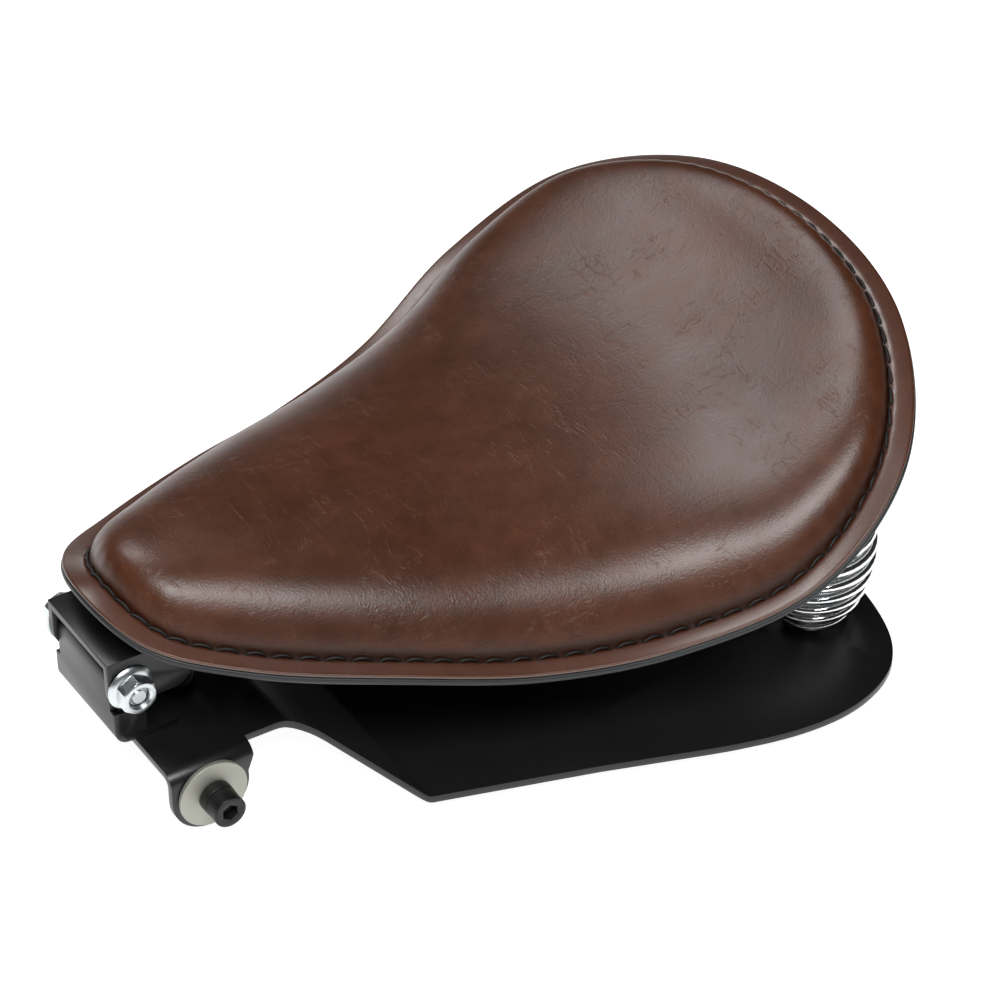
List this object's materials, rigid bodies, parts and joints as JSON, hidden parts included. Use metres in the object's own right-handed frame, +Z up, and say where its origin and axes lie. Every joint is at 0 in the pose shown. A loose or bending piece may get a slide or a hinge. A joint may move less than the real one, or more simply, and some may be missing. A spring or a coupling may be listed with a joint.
{
  "type": "motorcycle seat",
  "caption": "Sprung solo motorcycle seat: leather-covered pan hinged at the nose and carried by barrel springs on a bent steel base plate.",
  "frame": {"origin": "middle of the flat underside of the base plate, between the crease and the rear edge", "axes": "+X towards the seat's nose (the front of the motorcycle), +Y towards the rider's left, +Z up"},
  "size_m": [0.3333, 0.2674, 0.1342],
  "materials": {
    "brown_leather": "semi-gloss grained leather, dark brown",
    "black_leather": "matt black leather",
    "foam": "open-cell foam",
    "black_thread": "waxed black thread",
    "black_powder_coat": "satin black powder coat on steel",
    "black_oxide": "black oxide on steel",
    "bright_zinc": "bright zinc plate",
    "pale_washer": "dull pale plated steel",
    "spring_chrome": "chrome plate"
  },
  "bodies": {
    "base": {"base_plate": "black_powder_coat", "base_hinge_bracket": "black_powder_coat", "ear_washer": "pale_washer", "ear_collar": "black_oxide", "ear_screw": "black_oxide", "ear_nut": "bright_zinc", "neck_bolt": "black_oxide", "neck_nut": "bright_zinc", "spring_left": "spring_chrome", "spring_right": "spring_chrome", "lower_stud_left": "bright_zinc", "lower_stud_right": "bright_zinc", "lower_washer_left": "bright_zinc", "lower_washer_right": "bright_zinc", "lower_nut_left": "bright_zinc", "lower_nut_right": "bright_zinc"},
    "seat": {"leather_cover": "brown_leather", "foam_pad": "foam", "seat_pan": "black_powder_coat", "leather_lining": "black_leather", "stitching_thread": "black_thread", "seat_hinge_bracket": "black_powder_coat", "pan_stud_front": "bright_zinc", "pan_stud_rear": "bright_zinc", "pan_stud_nut_front": "bright_zinc", "pan_stud_nut_rear": "bright_zinc", "hinge_bolt": "bright_zinc", "hinge_nut": "bright_zinc", "spring_perch_left": "black_powder_coat", "spring_perch_right": "black_powder_coat", "upper_stud_left": "bright_zinc", "upper_stud_right": "bright_zinc", "upper_washer_left": "bright_zinc", "upper_washer_right": "bright_zinc", "upper_nut_left": "bright_zinc", "upper_nut_right": "bright_zinc"}
  },
  "joints": [
    {"name": "seat_tilt", "type": "hinge", "parent": "base", "child": "seat", "pos_m": [0.19, 0, 0.0495], "axis": [0, -1, 0], "range_deg": [-1, 6], "stiffness_Nm_per_rad": 1500, "deforming": ["spring_left", "spring_right"]}
  ]
}
